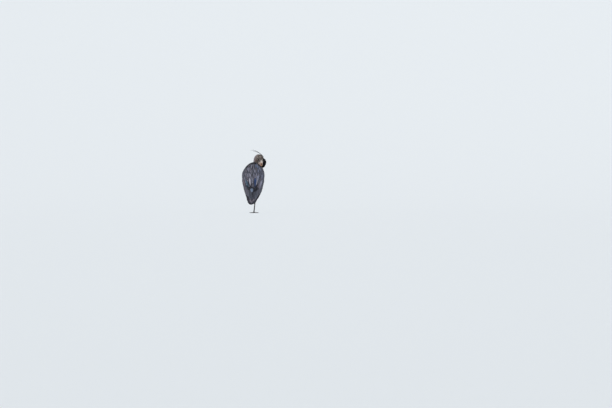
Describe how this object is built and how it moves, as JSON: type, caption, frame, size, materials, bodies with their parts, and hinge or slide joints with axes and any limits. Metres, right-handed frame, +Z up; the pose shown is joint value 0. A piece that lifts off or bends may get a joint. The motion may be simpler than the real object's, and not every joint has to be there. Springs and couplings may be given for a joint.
{
  "type": "grey heron model",
  "caption": "Life-size still grey heron preening on one leg, wings folded, neck arched to its right side, head hanging bill-down, crest plumes raised",
  "frame": {"origin": "on the ground, at the middle of the flat sole under the ball of the standing right foot", "axes": "+X to the bird's right, +Y the way its body faces, +Z up"},
  "size_m": [0.2456, 0.3148, 0.6315],
  "materials": {
    "grey_plumage": "matte",
    "flight_feathers": "matte",
    "white_plumage": "matte",
    "black_plumes": "satin",
    "bill_horn": "satin",
    "eye": "polished",
    "leg_scales": "satin",
    "claw_horn": "satin"
  },
  "bodies": {
    "root": {"trunk": "grey_plumage", "wing_left": "grey_plumage", "wing_right": "grey_plumage", "neck_lower": "grey_plumage", "neck_middle": "grey_plumage", "neck_upper": "grey_plumage", "thigh_left": "grey_plumage", "thigh_right": "grey_plumage", "tail": "flight_feathers", "primaries_left": "flight_feathers", "primaries_right": "flight_feathers", "head": "white_plumage", "breast_plumes": "white_plumage", "crest_plume_left": "black_plumes", "crest_plume_right": "black_plumes", "bill_upper": "bill_horn", "bill_lower": "bill_horn", "eye_left": "eye", "eye_right": "eye", "shank_left": "leg_scales", "tarsus_left": "leg_scales", "foot_left": "leg_scales", "toe_middle_left": "leg_scales", "toe_inner_left": "leg_scales", "toe_outer_left": "leg_scales", "toe_hind_left": "leg_scales", "claw_middle_left": "claw_horn", "claw_inner_left": "claw_horn", "claw_outer_left": "claw_horn", "claw_hind_left": "claw_horn", "shank_right": "leg_scales", "tarsus_right": "leg_scales", "foot_right": "leg_scales", "toe_middle_right": "leg_scales", "toe_inner_right": "leg_scales", "toe_outer_right": "leg_scales", "toe_hind_right": "leg_scales", "claw_middle_right": "claw_horn", "claw_inner_right": "claw_horn", "claw_outer_right": "claw_horn", "claw_hind_right": "claw_horn"}
  },
  "joints": []
}
